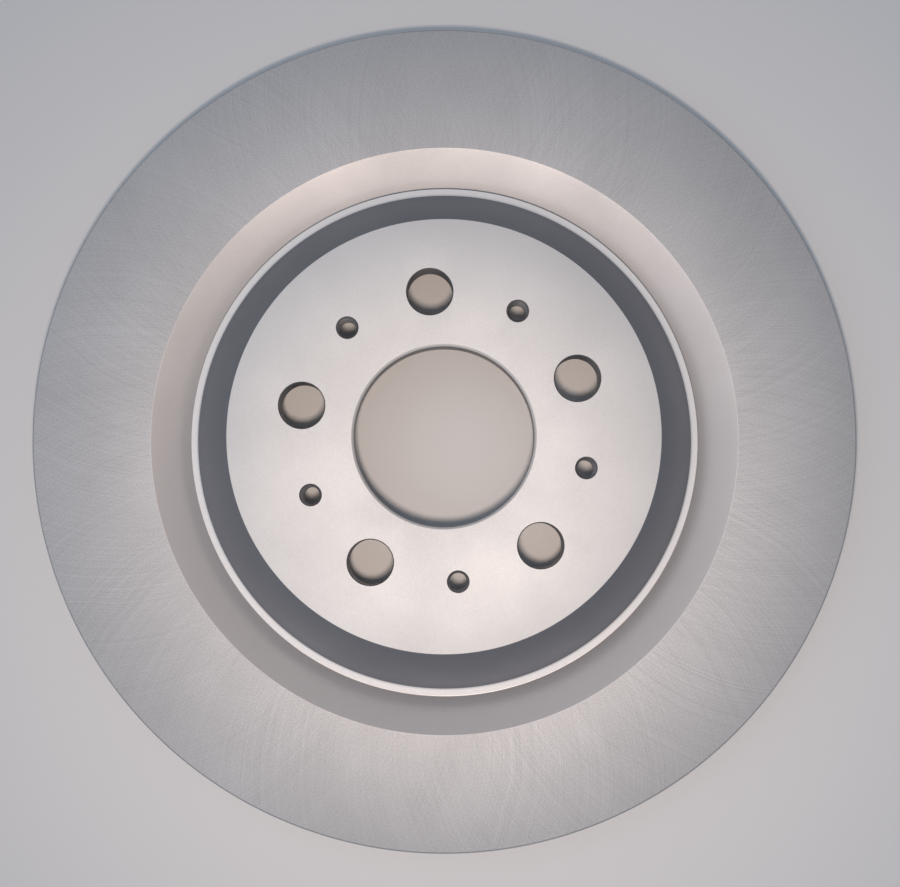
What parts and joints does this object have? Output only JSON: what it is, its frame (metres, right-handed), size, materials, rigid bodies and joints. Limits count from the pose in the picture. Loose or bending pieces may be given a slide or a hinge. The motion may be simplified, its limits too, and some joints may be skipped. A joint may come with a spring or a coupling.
{
  "type": "brake disc",
  "caption": "Ventilated brake disc with a raised hat, centre bore, wheel stud holes and tapped holes on one circle, and radial vanes between two friction plates.",
  "frame": {"origin": "centre of the inboard friction face, on the disc's axis, where the disc rests", "axes": "+Z along the disc's axis towards the wheel, +Y through the first wheel stud hole"},
  "size_m": [0.345, 0.345, 0.049],
  "materials": {
    "coated_iron": "machined grey iron under a thin, satin, silver-grey anti-corrosion coat"
  },
  "bodies": {
    "root": {"brake_disc": "coated_iron"}
  },
  "joints": []
}
